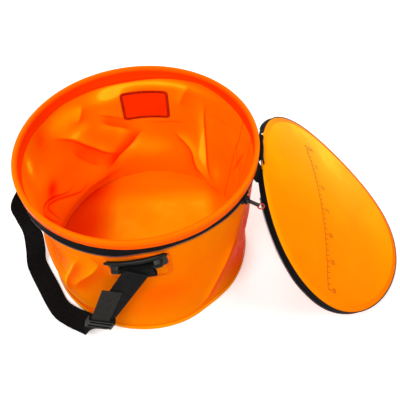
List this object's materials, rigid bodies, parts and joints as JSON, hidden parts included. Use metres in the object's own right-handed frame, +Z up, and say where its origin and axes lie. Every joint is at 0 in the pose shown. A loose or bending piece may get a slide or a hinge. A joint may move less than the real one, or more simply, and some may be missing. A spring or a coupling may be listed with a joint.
{
  "type": "bucket",
  "caption": "Round collapsible PVC sheet bucket with a zip-on lid hanging open from a fabric fold, a wired rim, a sliding zip and a webbing carrying strap.",
  "frame": {"origin": "centre of the underside of the bottom, on the floor that the bucket stands on", "axes": "+Z up out of the mouth; +X towards the side where the lid folds and lies open; -Y towards the front strap bracket, +Y towards the back one"},
  "size_m": [0.7852, 0.4589, 0.3],
  "materials": {
    "rim_pvc": "gloss",
    "wall_pvc": "gloss",
    "lid_pvc": "gloss",
    "patch_pvc": "satin",
    "hoop_steel": "satin",
    "pin_steel": "satin",
    "zip_tape": "matte",
    "zip_teeth": "satin",
    "zip_metal": "satin",
    "bracket_plastic": "satin",
    "webbing": "matte",
    "pull_plastic": "gloss"
  },
  "bodies": {
    "bucket": {"rim_sleeve": "rim_pvc", "rim_hoop": "hoop_steel", "wall": "wall_pvc", "bucket_zip_tape": "zip_tape", "bucket_zip_teeth": "zip_teeth", "near_zip_stop": "zip_metal", "far_zip_stop": "zip_metal", "hinge_tape": "zip_tape", "front_bracket": "bracket_plastic", "back_bracket": "bracket_plastic", "front_pin": "pin_steel", "back_pin": "pin_steel", "front_loop": "webbing", "back_loop": "webbing", "front_outer_patch": "patch_pvc", "back_outer_patch": "patch_pvc", "front_inner_patch": "patch_pvc", "back_inner_patch": "patch_pvc"},
    "bottom": {"bottom_sheet": "wall_pvc", "bottom_hem": "rim_pvc"},
    "lid": {"lid_sheet": "lid_pvc", "lid_band": "rim_pvc", "lid_hoop": "hoop_steel", "lid_zip_tape": "zip_tape", "lid_zip_teeth": "zip_teeth", "lid_hinge_tab": "zip_tape"},
    "slider": {"zip_slider": "zip_metal"},
    "pull": {"zip_pull": "zip_metal", "pull_loop": "pull_plastic"},
    "strap": {"strap_webbing": "webbing"},
    "adjuster": {"adjuster": "bracket_plastic", "strap_tail": "webbing"}
  },
  "joints": [
    {"name": "fold_flat", "type": "slide", "parent": "bucket", "child": "bottom", "axis": [0, 0, 1], "range_m": [0, 0.16], "deforming": ["wall"]},
    {"name": "lid_fold", "type": "hinge", "parent": "bucket", "child": "lid", "pos_m": [0.20976, -0.02316, 0.291], "axis": [-0.1097, -0.994, 0], "range_deg": [0, 221.05]},
    {"name": "zip_run", "type": "hinge", "parent": "bucket", "child": "slider", "pos_m": [0, 0, 0.269], "axis": [0, 0, -1], "range_deg": [0, 304]},
    {"name": "pull_swing", "type": "hinge", "parent": "slider", "child": "pull", "pos_m": [0.17542, -0.11832, 0.269], "axis": [0, 0, 1], "range_deg": [-75, 35]},
    {"name": "strap_swing", "type": "hinge", "parent": "bucket", "child": "strap", "pos_m": [0, 0, 0.238], "axis": [0, 1, 0], "range_deg": [0, 125]},
    {"name": "adjuster_slide", "type": "slide", "parent": "strap", "child": "adjuster", "axis": [0.4657, 0, 0.8849], "range_m": [0, 0.025]}
  ]
}
